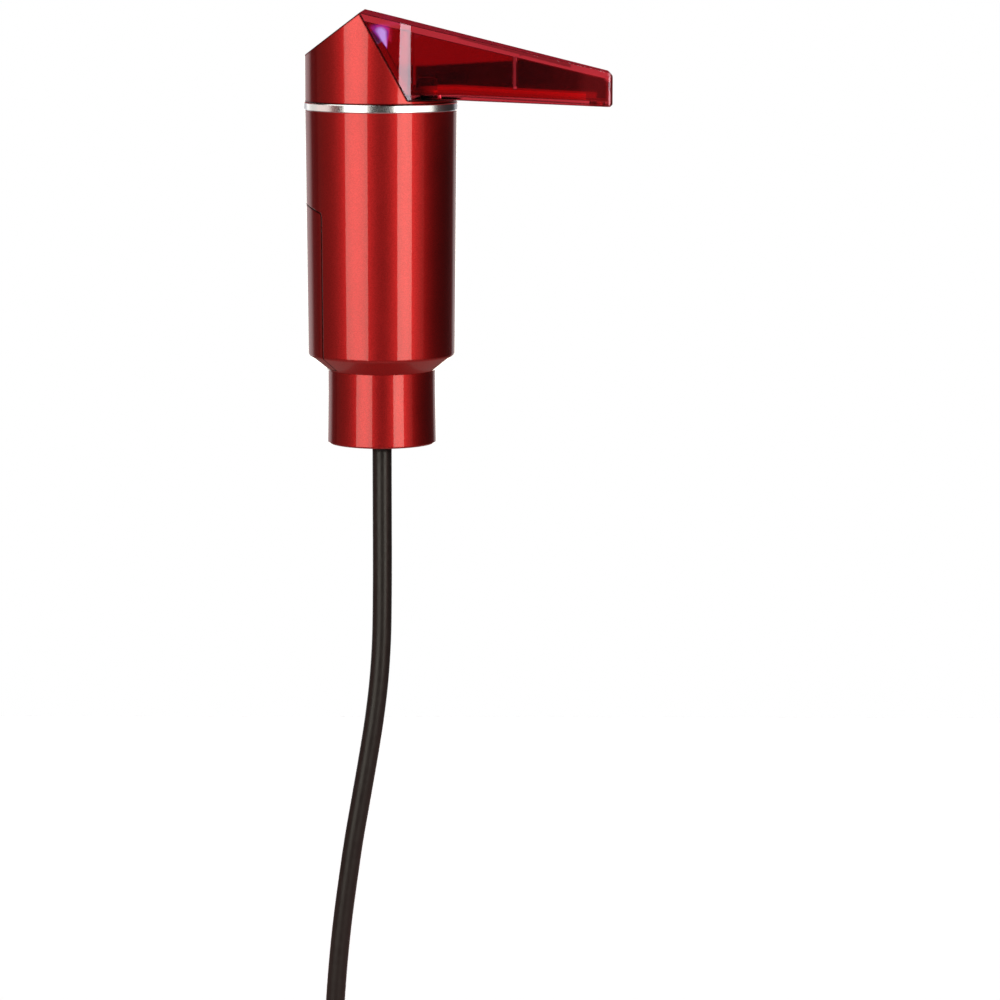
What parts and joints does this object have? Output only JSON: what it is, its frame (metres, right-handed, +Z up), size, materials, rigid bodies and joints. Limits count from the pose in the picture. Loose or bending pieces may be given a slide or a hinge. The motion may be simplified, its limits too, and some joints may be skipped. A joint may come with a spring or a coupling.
{
  "type": "electric wine aerator",
  "caption": "Red electric wine aerator for a bottle, with a translucent beak spout, a bright ring, a battery cover and a dip tube.",
  "frame": {"origin": "on the body's axis at the seat of the bottle rim, the underside of the stopper's flange", "axes": "+Z up along the body's axis, +X along the spout, the battery cover on the -X side"},
  "size_m": [0.1097, 0.0548, 0.4094],
  "materials": {
    "red_gloss": "metallic lacquer",
    "clear_red": "translucent",
    "bright_metal": "polished",
    "dark_plastic": "moulded",
    "pale_plastic": "moulded",
    "gear_plastic": "moulded",
    "silicone": "matt",
    "hose": "satin",
    "clear_tube": "milky",
    "screw_steel": "zinc",
    "motor_steel": "nickel",
    "contact_brass": "plain",
    "cell_wrap": "gloss",
    "board": "solder mask",
    "component": "moulded",
    "wire": "satin",
    "lamp": "clear"
  },
  "bodies": {
    "main": {"body_shell": "red_gloss", "trim_ring": "bright_metal", "collar": "red_gloss", "collar_screws": "screw_steel", "stopper": "silicone", "intake_barb": "pale_plastic", "dip_tube": "hose", "chassis": "dark_plastic", "pump_gasket": "silicone", "pump_housing": "pale_plastic", "pump_cover": "pale_plastic", "idler_pin": "screw_steel", "shaft_seal": "silicone", "pump_screws": "screw_steel", "motor_can": "motor_steel", "motor_end_bell": "pale_plastic", "motor_terminals": "contact_brass", "motor_clamp": "dark_plastic", "clamp_screws": "screw_steel", "battery_holder": "dark_plastic", "battery_cells": "cell_wrap", "battery_springs": "motor_steel", "battery_contacts": "motor_steel", "control_board": "board", "board_components": "component", "board_screws": "screw_steel", "delivery_tube": "clear_tube", "lead_wires": "wire", "head_cap": "red_gloss", "head_screws": "screw_steel", "switch_board": "board", "tact_switch": "component", "switch_screws": "screw_steel", "indicator_led": "lamp", "aerator_nozzle": "dark_plastic", "nozzle_o_ring": "silicone", "spout": "clear_red", "pour_channel": "clear_red"},
    "cover": {"battery_cover": "red_gloss"},
    "button": {"power_button": "red_gloss", "switch_plunger": "component"},
    "rotor": {"motor_shaft": "screw_steel", "drive_gear": "gear_plastic"},
    "idler": {"driven_gear": "gear_plastic"}
  },
  "joints": [
    {"name": "cover_slide", "type": "slide", "parent": "main", "child": "cover", "axis": [0, 0, -1], "range_m": [0, 0.062]},
    {"name": "button_press", "type": "slide", "parent": "main", "child": "button", "axis": [0.6056, 0, -0.7958], "range_m": [0, 0.0008], "stiffness_N_per_m": 1500},
    {"name": "motor_spin", "type": "hinge", "parent": "main", "child": "rotor", "pos_m": [0.00898, -0.004, 0.03], "axis": [0, 0, 1], "continuous": true},
    {"name": "idler_spin", "type": "hinge", "parent": "main", "child": "idler", "pos_m": [0.00898, 0.004, 0.017], "axis": [0, 0, 1], "continuous": true}
  ],
  "couplings": [
    {"joint": "idler_spin", "follows": "motor_spin", "ratio": -1}
  ]
}
